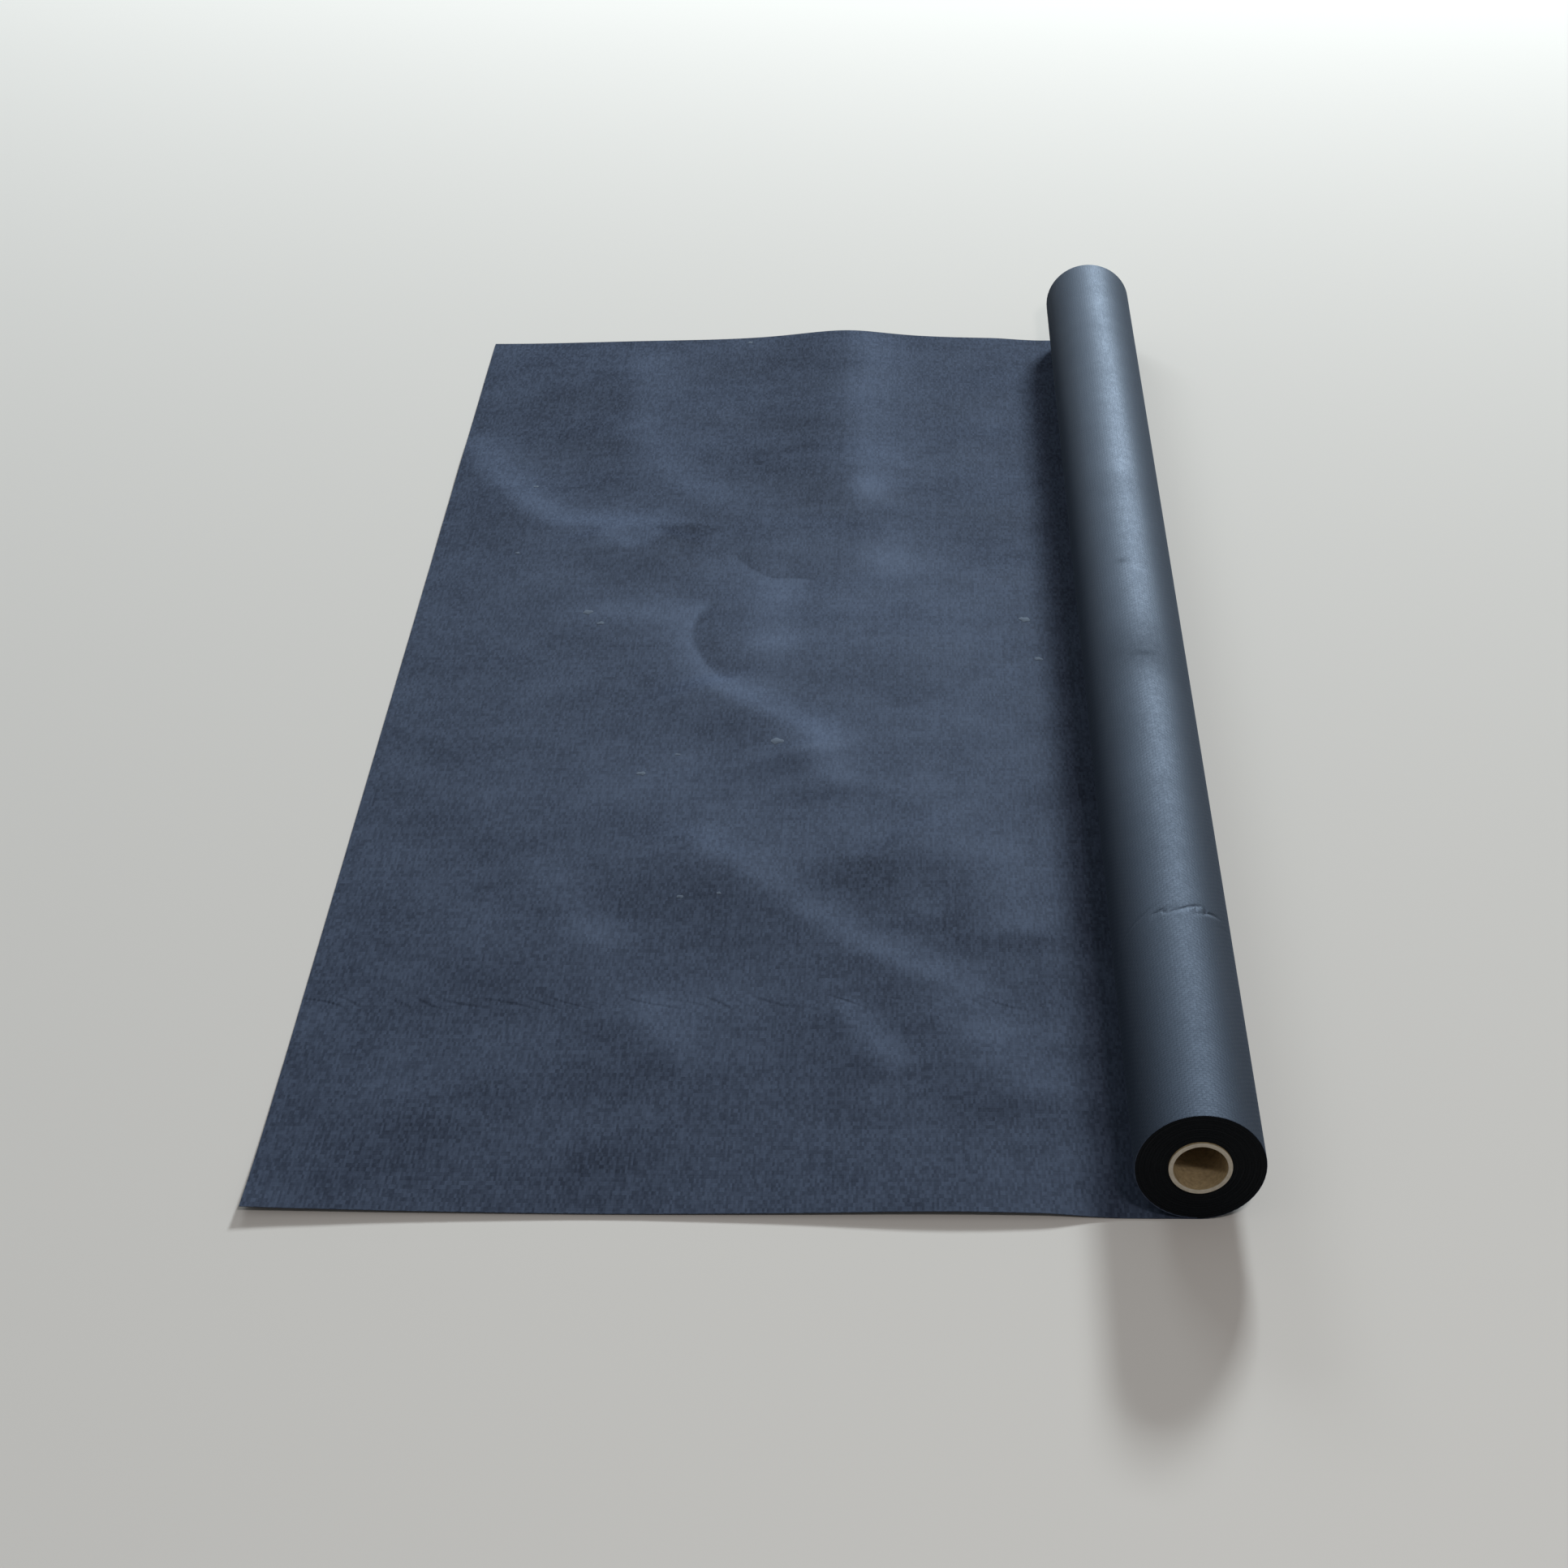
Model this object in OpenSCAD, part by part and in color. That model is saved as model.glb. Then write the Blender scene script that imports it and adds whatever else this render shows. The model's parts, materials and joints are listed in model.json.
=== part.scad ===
// Roll of woven landscape fabric on a cardboard core, with its first length unrolled.
// Millimetres. +Z is up, and the part lies on the floor at z = 0. The core's axis runs along Y.
// The origin is on the floor, under the middle of the whole part.

/* [Fabric] */
// Width of the woven web, selvedge to selvedge
fabric_width = 1524; // [600:1:2500]
// Thickness of the web as it is wound
fabric_thickness = 0.35; // [0.25:0.05:0.6]
// Length that lies unrolled, from the cut edge to the line below the core's axis
unrolled_length = 676; // [200:1:1500]

/* [Winding] */
// Outer diameter of the wound roll
roll_d = 92; // [76:1:160]
// Turns that wander together and show as one ring on the ends
turns_per_ring = 6; // [4:1:12]
// Furthest that a ring of turns stands back from the selvedge
ring_setback = 0.8; // [0.2:0.1:2]

/* [Core] */
// Bore of the cardboard tube, which takes a mandrel or a hand bar
core_bore_d = 38; // [25:0.5:50]
// Wall of the cardboard tube
core_wall = 3.2; // [2:0.1:6]
// Length of the tube that shows past the fabric at each end
core_proud = 1.5; // [0.5:0.5:5]
// Rounding of the tube's sawn edges
core_edge_r = 0.5; // [0.2:0.1:0.8]

/* [Hidden] */
roll_r = roll_d / 2;
bore_r = core_bore_d / 2;
core_r = bore_r + core_wall;
core_length = fabric_width + 2 * core_proud;

// The whole part reaches from the cut edge to the far side of the roll, centred on x = 0.
roll_x = (unrolled_length - roll_r) / 2;
cut_edge_x = roll_x - unrolled_length;

winding_depth = roll_r - core_r;
ring_count = floor(winding_depth / (turns_per_ring * fabric_thickness));
ring_pitch = winding_depth / ring_count;
GOLDEN_ANGLE = 137.508;

ROUND_FN = 180;

// Radius of the joint between ring i - 1 and ring i.
function ring_r(i) = core_r + i * ring_pitch;

// Distance of ring i from the selvedge. Multiples of the golden angle never repeat, so neighbours differ.
// The outermost ring is flush, because the unrolled web comes off it.
function setback(i) = i == ring_count - 1 ? 0 : ring_setback * (1 + sin(i * GOLDEN_ANGLE)) / 2;

// Stepped line along one end of the winding, from the core outwards, as [radius, height].
function end_steps(side) = [
    for (i = [0 : ring_count - 1], edge = [0, 1])
        [ring_r(i + edge), side * (fabric_width / 2 - setback(i))]
];

function reversed(points) = [for (i = [len(points) - 1 : -1 : 0]) points[i]];

// Stands a turned shape's axis along Y, at the height at which the roll rests on the floor.
module on_roll_axis() {
    translate([roll_x, 0, roll_r])
        rotate([-90, 0, 0])
            children();
}

module core_tube() {
    color("#a8977a")
        on_roll_axis()
            rotate_extrude($fn = ROUND_FN)
                tube_section();
}

// Half section of the tube, with its four sawn edges rounded.
module tube_section() {
    corner_r = bore_r + core_edge_r;
    corner_y = core_length / 2 - core_edge_r;
    translate([bore_r, -corner_y])
        square([core_wall, 2 * corner_y]);
    translate([corner_r, -core_length / 2])
        square([core_wall - 2 * core_edge_r, core_length]);
    for (r = [corner_r, core_r - core_edge_r], y = [-corner_y, corner_y])
        translate([r, y])
            circle(r = core_edge_r, $fn = 32);
}

module landscape_fabric() {
    color("#3a4250") {
        wound_turns();
        unrolled_web();
    }
}

// The turns are one turned solid around the core, stepped in rings at both ends.
module wound_turns() {
    on_roll_axis()
        rotate_extrude($fn = ROUND_FN)
            polygon(concat(end_steps(1), reversed(end_steps(-1))));
}

// The web leaves the roll at its foot, where it is tangent to the outermost turn.
module unrolled_web() {
    translate([cut_edge_x, -fabric_width / 2, 0])
        cube([unrolled_length, fabric_width, fabric_thickness]);
}

core_tube();
landscape_fabric();
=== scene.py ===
# %% [markdown]
# # A roll of landscape fabric
#
# Landscape fabric is a web of woven polypropylene tapes that is laid on soil to keep weeds down. It is sold
# wound on a cardboard core. This roll lies on the floor with its first length pulled out beside it.
#
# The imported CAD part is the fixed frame. It holds the core, the wound turns and the flat web at their real
# sizes, in metres, with the core's axis along Y and the floor at z = 0. The lesson dresses that frame. It
# makes the finishes first, and then the creased web, the shed fibre, the turns on the ends and the sawn
# core.

# %% Load the frame
import json

import bpy
import numpy as np
from mathutils import Matrix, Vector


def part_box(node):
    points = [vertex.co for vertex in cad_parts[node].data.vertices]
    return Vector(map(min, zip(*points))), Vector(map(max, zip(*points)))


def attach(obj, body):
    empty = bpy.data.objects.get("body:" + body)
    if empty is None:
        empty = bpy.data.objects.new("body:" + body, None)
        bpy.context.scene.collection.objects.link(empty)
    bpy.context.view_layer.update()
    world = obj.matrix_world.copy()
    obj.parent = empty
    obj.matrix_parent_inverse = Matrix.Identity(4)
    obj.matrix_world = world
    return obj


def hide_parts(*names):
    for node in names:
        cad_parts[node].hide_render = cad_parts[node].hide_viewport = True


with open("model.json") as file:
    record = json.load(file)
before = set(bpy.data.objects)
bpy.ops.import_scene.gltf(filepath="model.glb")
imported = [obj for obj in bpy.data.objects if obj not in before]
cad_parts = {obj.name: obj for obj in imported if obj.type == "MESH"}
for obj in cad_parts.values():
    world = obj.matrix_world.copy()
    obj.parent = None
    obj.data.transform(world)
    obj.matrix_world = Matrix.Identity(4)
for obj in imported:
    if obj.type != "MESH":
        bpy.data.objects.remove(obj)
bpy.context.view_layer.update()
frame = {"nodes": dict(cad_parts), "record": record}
print("CAD nodes:", sorted(frame["nodes"]))

# %% [markdown]
# ## Sizes
#
# Every size that the CAD part already holds is read from it, so the looks can't drift away from the part.
# Only the web's thickness is repeated, because a box round the node doesn't show it.

# %% Sizes read from the frame
MM = 0.001
FABRIC_T = 0.35 * MM

core_low, core_high = (np.array(corner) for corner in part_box("core_tube"))
web_low, web_high = (np.array(corner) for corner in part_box("landscape_fabric"))
bore = next(mount for mount in frame["record"]["mounts"] if mount["name"] == "core_bore")

axis_x, _, axis_z = bore["pos_m"]
bore_r = bore["dims"]["r_mm"] * MM
core_r = (core_high[0] - core_low[0]) / 2
core_half = (core_high[1] - core_low[1]) / 2
roll_r = web_high[0] - axis_x
half_width = (web_high[1] - web_low[1]) / 2
cut_edge_x = web_low[0]
unrolled_length = axis_x - cut_edge_x
turns = (roll_r - core_r) / FABRIC_T
print(f"roll {2 * roll_r:.4f} m across, web {2 * half_width:.3f} m wide, {turns:.1f} turns on the core")

# %% [markdown]
# ## Camera
#
# The photograph was taken from above one end of the roll, looking along it. Its viewpoint was found by
# matching the corners of the web and the two round ends of the roll, so it is written here as a place,
# three angles and a focal length in pixels. The same numbers carry a pixel of the photograph back to the
# floor or to the roll. The tented edge, the shed fibre and the marks on the roll get their places that way.

# %% Camera at the photograph's viewpoint
PHOTO_PX = 1932
FOCAL_PX = 3609
SENSOR_MM = 36
CAMERA_AT = np.array((0.1138, -2.3455, 1.3530))
YAW, PITCH, TILT = np.radians((-2.890, 32.073, -1.562))


def camera_axes(yaw, pitch, tilt):
    """Right, up and forward of a camera that starts level along +Y, turns by yaw about Z, tips down by
    pitch, and is then turned by tilt about its own line of sight."""
    forward = np.array((np.sin(yaw) * np.cos(pitch), np.cos(yaw) * np.cos(pitch), -np.sin(pitch)))
    level = np.array((np.cos(yaw), -np.sin(yaw), 0.0))
    over = np.cross(level, forward)
    right = np.cos(tilt) * level + np.sin(tilt) * over
    up = np.cos(tilt) * over - np.sin(tilt) * level
    return right, up, forward


right, up, forward = camera_axes(YAW, PITCH, TILT)
lens = bpy.data.cameras.new("photo_camera")
lens.sensor_width = SENSOR_MM
lens.lens = FOCAL_PX / PHOTO_PX * SENSOR_MM
camera = bpy.data.objects.new("photo_camera", lens)
camera.matrix_world = Matrix.Translation(CAMERA_AT) @ Matrix(np.stack([right, up, -forward], 1)).to_4x4()
bpy.context.scene.collection.objects.link(camera)
bpy.context.scene.camera = camera
print(f"lens {lens.lens:.1f} mm, {CAMERA_AT[2]:.2f} m above the floor")


# %% Carry a pixel of the photograph to the floor, or to the roll
def sight_lines(pixels):
    """Direction in which each pixel of the 1932 px photograph looks: forward, plus its offsets from the
    centre along right and up."""
    offset = (np.array(pixels, float) - PHOTO_PX / 2) / FOCAL_PX
    return forward + offset[..., :1] * right - offset[..., 1:] * up


def on_floor(pixels):
    """x and y of the floor points that pixels show, where their lines of sight come down to z = 0."""
    sight = sight_lines(pixels)
    return (CAMERA_AT - CAMERA_AT[2] / sight[..., 2:] * sight)[..., :2]


def on_roll(pixels):
    """Metres along the web, and y, of the points of the outermost turn that pixels show: a quadratic gives
    the first crossing of each line of sight with the roll's circle."""
    sight = sight_lines(pixels)
    eye = CAMERA_AT - (axis_x, 0, axis_z)
    square = sight[..., 0] ** 2 + sight[..., 2] ** 2
    half = eye[0] * sight[..., 0] + eye[2] * sight[..., 2]
    reach = (-half - np.sqrt(half**2 - square * (eye[0] ** 2 + eye[2] ** 2 - roll_r**2))) / square
    place = eye + reach[..., None] * sight
    angle = np.arctan2(place[..., 0], -place[..., 2]) % (2 * np.pi)
    return np.stack([unrolled_length + roll_r * angle, place[..., 1]], -1)


CUT_CORNER_PX = (610, 426)
print("far cut corner of the web:", on_floor(CUT_CORNER_PX).round(3))

# %% [markdown]
# ## From arrays to meshes
#
# Each piece is a grid of points worked out by numpy. The helpers below turn a grid into quads, and quads
# into a Blender object. A closed skin with its faces outwards has a positive volume, so the sign of that
# volume decides whether the quads are turned over. Blender's own primitives would be quicker to call, but
# they can't be bent, wound or creased by a formula.


# %% Grid to quads to object
def grid_quads(rows, columns, closed_rows=False, closed_columns=False):
    """Quads between neighbouring points of a rows by columns grid, numbered row by row. A closed direction
    also joins its last line of points to its first."""
    index = np.arange(rows * columns).reshape(rows, columns)
    if closed_rows:
        index = np.vstack([index, index[:1]])
    if closed_columns:
        index = np.hstack([index, index[:, :1]])
    return np.stack([index[:-1, :-1], index[1:, :-1], index[1:, 1:], index[:-1, 1:]], -1).reshape(-1, 4)


def shell_quads(rows, columns):
    """Quads of a closed skin with two faces: a grid, the same grid again under it, and the rim between."""
    index = np.arange(rows * columns).reshape(rows, columns)
    border = np.concatenate([index[:-1, 0], index[-1, :-1], index[:0:-1, -1], index[0, :0:-1]])
    after, below = np.roll(border, -1), rows * columns
    upper = grid_quads(rows, columns)
    rim = np.stack([after, border, border + below, after + below], -1)
    return np.concatenate([upper, upper[:, ::-1] + below, rim])


def signed_volume(points, quads):
    """Volume inside a closed skin: the sum over its triangles of a . (b x c) / 6."""
    a, b, c, d = (points[quads[:, corner]] for corner in range(4))
    return (np.cross(b, c) * a + np.cross(c, d) * a).sum() / 6


def add_piece(name, points, quads, materials, shares=None, web_uv=None, sharp_deg=50, **attributes):
    """One closed object at the origin. shares gives each quad's material, web_uv a map in metres of web,
    and each further keyword an attribute with one number per point. Edges past sharp_deg stay crisp."""
    if signed_volume(points, quads) < 0:
        quads = quads[:, ::-1]
    mesh = bpy.data.meshes.new(name)
    mesh.from_pydata(points.tolist(), [], quads.tolist())
    for material in materials:
        mesh.materials.append(material)
    if shares is not None:
        mesh.polygons.foreach_set("material_index", shares.astype(np.int32))
    if web_uv is not None:
        layer = mesh.uv_layers.new(name="web")
        layer.uv.foreach_set("vector", web_uv[quads.ravel()].astype(np.float32).ravel())
    for key, values in attributes.items():
        mesh.attributes.new(key, "FLOAT", "POINT").data.foreach_set("value", values.astype(np.float32))
    mesh.polygons.foreach_set("use_smooth", np.ones(len(quads), bool))
    mesh.set_sharp_from_angle(angle=np.radians(sharp_deg))
    mesh.update()
    piece = bpy.data.objects.new(name, mesh)
    bpy.context.scene.collection.objects.link(piece)
    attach(piece, "root")
    volume = signed_volume(points, quads)
    print(f"{name}: {len(points)} points, {2 * len(quads)} triangles, {volume:.2e} m3")
    return piece


# %% [markdown]
# ## Finishes
#
# Materials are node trees. One helper adds a node, sets it and links it, so that each finish below reads as
# a list of what it is made from. Colours are written as sRGB hex, as they would be picked from a picture,
# and one function turns them to the linear values that the shader wants.


# %% Node and colour helpers
def linear(hex_colour):
    """Linear RGBA of an sRGB hex colour, by the sRGB curve."""
    srgb = np.array([int(hex_colour[i:i + 2], 16) for i in (1, 3, 5)]) / 255
    rgb = np.where(srgb <= 0.04045, srgb / 12.92, ((srgb + 0.055) / 1.055) ** 2.4)
    return (*rgb.tolist(), 1.0)


def add_node(tree, kind, inputs=None, **settings):
    """Adds a node of that kind. settings are its own properties. inputs are its sockets, by name or number:
    another node's output is linked in, and a plain value is set."""
    node = tree.nodes.new(kind)
    for key, value in settings.items():
        setattr(node, key, value)
    for key, value in (inputs or {}).items():
        if isinstance(value, bpy.types.NodeSocket):
            tree.links.new(value, node.inputs[key])
        else:
            node.inputs[key].default_value = value
    return node


def new_finish(name, **sockets):
    """A material with its shader's plain sockets set, returned with its node tree and shader."""
    material = bpy.data.materials.new(name)
    material.use_nodes = True
    shader = material.node_tree.nodes["Principled BSDF"]
    for key, value in sockets.items():
        shader.inputs[key.replace("_", " ")].default_value = value
    return material, material.node_tree, shader


# %% [markdown]
# ### Woven polypropylene
#
# The web is a plain weave of flat, stretched polypropylene tapes, dyed with carbon black. Drawing the tapes
# makes them shiny along their length, so the cloth has a soft satin sheen instead of a matt face. Tapes are
# never quite the same tone, and the cloth has a fine grain where they cross.
#
# The pattern has to follow the web from the flat length on to the roll, so it reads a map that counts
# metres along and across the web. The real tapes are about 1.3 mm apart, which is finer than a pixel of the
# render, so they are drawn twice as wide.

# %% Tapes over and under
DRAWN_TAPE = 2.6 * MM
TAPE_EDGE = 0.22
GRAIN_CELLS_PER_TAPE = (1.5, 0.55, 1.0)


def woven_tapes(tree, web):
    """Three patterns from checks of warp over weft: the crown of each tape, which is flat with rounded
    edges, a random tone for each tape, and a grain of random cells that are longer across the web."""
    tapes = add_node(tree, "ShaderNodeVectorMath", {0: web, "Scale": 1 / DRAWN_TAPE}, operation="SCALE")
    checks = add_node(tree, "ShaderNodeTexChecker", {"Vector": tapes.outputs[0], "Scale": 1.0})
    split = add_node(tree, "ShaderNodeSeparateXYZ", {0: tapes.outputs[0]})
    crowns, tones = [], []
    for across in ("Y", "X"):
        from_edge = add_node(
            tree, "ShaderNodeMath", {0: split.outputs[across], 1: 0.5}, operation="PINGPONG")
        crown = add_node(
            tree, "ShaderNodeMapRange", {"Value": from_edge.outputs[0], "From Max": TAPE_EDGE},
            interpolation_type="SMOOTHSTEP")
        crowns.append(crown.outputs[0])
        number = add_node(tree, "ShaderNodeMath", {0: split.outputs[across]}, operation="FLOOR")
        tone = add_node(tree, "ShaderNodeTexWhiteNoise", {"W": number.outputs[0]}, noise_dimensions="1D")
        tones.append(tone.outputs["Value"])
    crown, tone = (
        add_node(tree, "ShaderNodeMix", {"Factor": checks.outputs["Fac"], "A": weft, "B": warp}).outputs[0]
        for weft, warp in (crowns, tones))
    cells = add_node(
        tree, "ShaderNodeVectorMath", {0: tapes.outputs[0], 1: GRAIN_CELLS_PER_TAPE}, operation="MULTIPLY")
    cell = add_node(tree, "ShaderNodeVectorMath", {0: cells.outputs[0]}, operation="FLOOR")
    grain = add_node(tree, "ShaderNodeTexWhiteNoise", {"Vector": cell.outputs[0]}, noise_dimensions="2D")
    return crown, tone, grain.outputs["Value"]


# %% [markdown]
# Fine creases are grooves pressed into the cloth. Some follow strokes, and the mesh brings along each
# point's distance from the nearest stroke. Near the front end a row of short slanted ticks also runs along
# the web. They are too many to place one by one, so the pattern works them out: it counts pitches along the
# row, slanted and shifted by a slow noise, and each whole number is a tick with a random depth.

# %% Grooves along strokes and in a row of ticks
STROKE_HALF_MM = 2.2
ROW_Y, ROW_HALF = -0.513, 8 * MM
TICK_PITCH, TICK_SLOPE, TICK_HALF = 0.024, -0.5, 1.8 * MM
WANDER_PITCHES = 3


def groove_at(tree, distance, scale):
    """A bell over a distance from a line: exp(-(distance * scale)^2)."""
    widths = add_node(tree, "ShaderNodeMath", {0: distance, 1: scale}, operation="MULTIPLY").outputs[0]
    squared = add_node(tree, "ShaderNodeMath", {0: widths, 1: widths}, operation="MULTIPLY").outputs[0]
    falling = add_node(tree, "ShaderNodeMath", {0: squared, 1: -1.0}, operation="MULTIPLY").outputs[0]
    return add_node(tree, "ShaderNodeMath", {0: falling}, operation="EXPONENT").outputs[0]


def pressed_strokes(tree, from_stroke, stroke_depth):
    """The groove of the nearest stroke times its depth."""
    groove = groove_at(tree, from_stroke, 1 / STROKE_HALF_MM)
    return add_node(tree, "ShaderNodeMath", {0: groove, 1: stroke_depth}, operation="MULTIPLY").outputs[0]


def pressed_ticks(tree, web):
    """The groove of the nearest tick times its depth, fading to both sides of the row."""
    place = add_node(tree, "ShaderNodeSeparateXYZ", {0: web})
    off_row = add_node(
        tree, "ShaderNodeMath", {0: place.outputs["Y"], 1: ROW_Y}, operation="SUBTRACT").outputs[0]
    slanted = add_node(
        tree, "ShaderNodeMath", {0: off_row, 1: -1 / TICK_SLOPE, 2: place.outputs["X"]},
        operation="MULTIPLY_ADD")
    even = add_node(tree, "ShaderNodeMath", {0: slanted.outputs[0], 1: TICK_PITCH}, operation="DIVIDE")
    wander = add_node(
        tree, "ShaderNodeTexNoise",
        {"Vector": web, "Scale": 1 / (WANDER_PITCHES * TICK_PITCH), "Detail": 0.0})
    pitches = add_node(
        tree, "ShaderNodeMath", {0: wander.outputs["Fac"], 1: WANDER_PITCHES, 2: even.outputs[0]},
        operation="MULTIPLY_ADD").outputs[0]
    from_tick = add_node(tree, "ShaderNodeMath", {0: pitches, 1: 0.5}, operation="PINGPONG").outputs[0]
    number = add_node(tree, "ShaderNodeMath", {0: pitches}, operation="ROUND").outputs[0]
    depth = add_node(tree, "ShaderNodeTexWhiteNoise", {"W": number}, noise_dimensions="1D")
    pitch_across_tick = TICK_PITCH * np.sin(np.arctan(abs(TICK_SLOPE)))
    pressed = groove_at(tree, from_tick, pitch_across_tick / TICK_HALF)
    for share in (depth.outputs["Value"], groove_at(tree, off_row, 1 / ROW_HALF)):
        pressed = add_node(
            tree, "ShaderNodeMath", {0: pressed, 1: share}, operation="MULTIPLY").outputs[0]
    return pressed


# %% [markdown]
# Colour, roughness and relief are each a sum of the same marks with different weights. A fold is painted
# paler on one side, as painted light, and darker on the other, as painted shade. A groove is painted darker,
# as shade in the groove, and a smudge is darker. Smudges are also duller. Across a slant the eye looks into
# the gaps between tapes, so the sheen fades out there.
#
# The two faces of the web differ. The one that lies up is dull, and paler: its colour is partly its own and
# partly painted sheen. The one that shows on the roll is darker and keeps its satin, with a sheen that is a
# little blue.

# %% Woven polypropylene
MOTTLE_LENGTH, MOTTLE_WIDTH = 0.10, 0.08
MOTTLE_DETAIL, MOTTLE_ROUGHNESS = 5.0, 0.66
SHEEN = "#b4d2ff"
TONE_START = -0.16
# Weights of the marks in the colour. The fold tone is painted light and shade, and the strokes and ticks
# paint shade into their grooves.
TONE = {
    "mottle": 0.6, "tape": 0.09, "grain": 0.3, "painted_shading_and_tone": 0.5, "smudge": -0.2, "stroke": -0.2, "tick": -0.24}
DULLING = {"smudge": 0.16, "grain": 0.04}
RELIEF_MM = {"crown": 0.05, "stroke": -0.65, "tick": -0.28}


def weighted_sum(tree, start, marks, weights):
    """start plus each mark times its weight."""
    total = start
    for mark, weight in weights.items():
        total = add_node(
            tree, "ShaderNodeMath", {0: marks[mark], 1: weight, 2: total},
            operation="MULTIPLY_ADD").outputs[0]
    return total


def woven_polypropylene(name, dark, pale, satin, dull, gloss, edge_on):
    """Cloth between two colours and two roughnesses, satin and dull, with slow changes of both along the
    web. edge_on is the range of slant over which it goes quite matt."""
    material, tree, shader = new_finish(name, Specular_IOR_Level=gloss, Specular_Tint=linear(SHEEN))
    web = add_node(tree, "ShaderNodeUVMap", uv_map="web").outputs["UV"]
    marks = {
        mark: add_node(tree, "ShaderNodeAttribute", attribute_name=mark).outputs["Fac"]
        for mark in ("painted_shading_and_tone", "smudge", "from_stroke", "stroke_depth")}
    marks["crown"], marks["tape"], marks["grain"] = woven_tapes(tree, web)
    marks["stroke"] = pressed_strokes(tree, marks["from_stroke"], marks["stroke_depth"])
    marks["tick"] = pressed_ticks(tree, web)
    stretched = add_node(
        tree, "ShaderNodeMapping", {"Vector": web, "Scale": (1 / MOTTLE_LENGTH, 1 / MOTTLE_WIDTH, 1)})
    marks["mottle"] = add_node(
        tree, "ShaderNodeTexNoise",
        {"Vector": stretched.outputs[0], "Scale": 1.0, "Detail": MOTTLE_DETAIL,
         "Roughness": MOTTLE_ROUGHNESS}).outputs["Fac"]

    tone = weighted_sum(tree, TONE_START, marks, TONE)
    colour = add_node(
        tree, "ShaderNodeMix", {"Factor": tone, "A": linear(dark), "B": linear(pale)}, data_type="RGBA")
    tree.links.new(colour.outputs["Result"], shader.inputs["Base Color"])

    even = add_node(tree, "ShaderNodeMapRange", {"Value": marks["mottle"], "To Min": dull, "To Max": satin})
    slant = add_node(tree, "ShaderNodeLayerWeight", {"Blend": 0.5})
    matted = add_node(
        tree, "ShaderNodeMapRange",
        {"Value": slant.outputs["Facing"], "From Min": edge_on[0], "From Max": edge_on[1],
         "To Min": weighted_sum(tree, even.outputs[0], marks, DULLING)})
    tree.links.new(matted.outputs[0], shader.inputs["Roughness"])

    relief = weighted_sum(tree, 0.0, marks, RELIEF_MM)
    bump = add_node(tree, "ShaderNodeBump", {"Height": relief, "Strength": 1.0, "Distance": MM})
    tree.links.new(bump.outputs[0], shader.inputs["Normal"])
    return material


# The dull face's colours are partly painted sheen, standing in for the gloss that it lacks.
upper_face = woven_polypropylene(
    "woven_polypropylene_dull", dark="#242732", pale="#5c6475",
    satin=0.70, dull=0.80, gloss=0.05, edge_on=(0.50, 0.68))
under_face = woven_polypropylene(
    "woven_polypropylene_satin", dark="#0f1217", pale="#1f232a",
    satin=0.57, dull=0.71, gloss=0.50, edge_on=(0.62, 0.90))
print("finishes:", upper_face.name, under_face.name)

# %% [markdown]
# ### Tape ends on the roll's faces
#
# On the roll's two faces the eye sees only the cut ends of black tapes, packed edge to edge. Light goes in
# between the turns and hardly comes out, and that shade is painted in: the faces are coloured far darker
# than the web, and have no sheen.

# %% Packed tape ends
END_GRAIN = 1.5 * MM


def packed_tape_ends():
    """Near-black with a fine grain, matt."""
    material, tree, shader = new_finish("packed_tape_ends", Specular_IOR_Level=0.15, Roughness=0.85)
    place = add_node(tree, "ShaderNodeTexCoord").outputs["Object"]
    grain = add_node(tree, "ShaderNodeTexNoise", {"Vector": place, "Scale": 1 / END_GRAIN, "Detail": 2.0})
    # Near-black tapes, painted darker still as the shade between the turns.
    colour = add_node(
        tree, "ShaderNodeMix",
        {"Factor": grain.outputs["Fac"], "A": linear("#08090a"), "B": linear("#131518")}, data_type="RGBA")
    tree.links.new(colour.outputs["Result"], shader.inputs["Base Color"])
    return material


tape_ends = packed_tape_ends()
print("finish:", tape_ends.name)

# %% [markdown]
# ### Kraft board
#
# The core is a tube of kraft paper plies wound on a slant and glued. Its bore is brown paper with a spiral
# seam. Its sawn ends show the plies from the side, paler and furry from the saw.

# %% Kraft board, bore and sawn ends
SEAM_PITCH = 0.1
SEAM_SHARE = 0.012
PLY = 0.8 * MM
PAPER_FIBRE = 3 * MM
PAPER_RELIEF = 0.2 * MM


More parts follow.
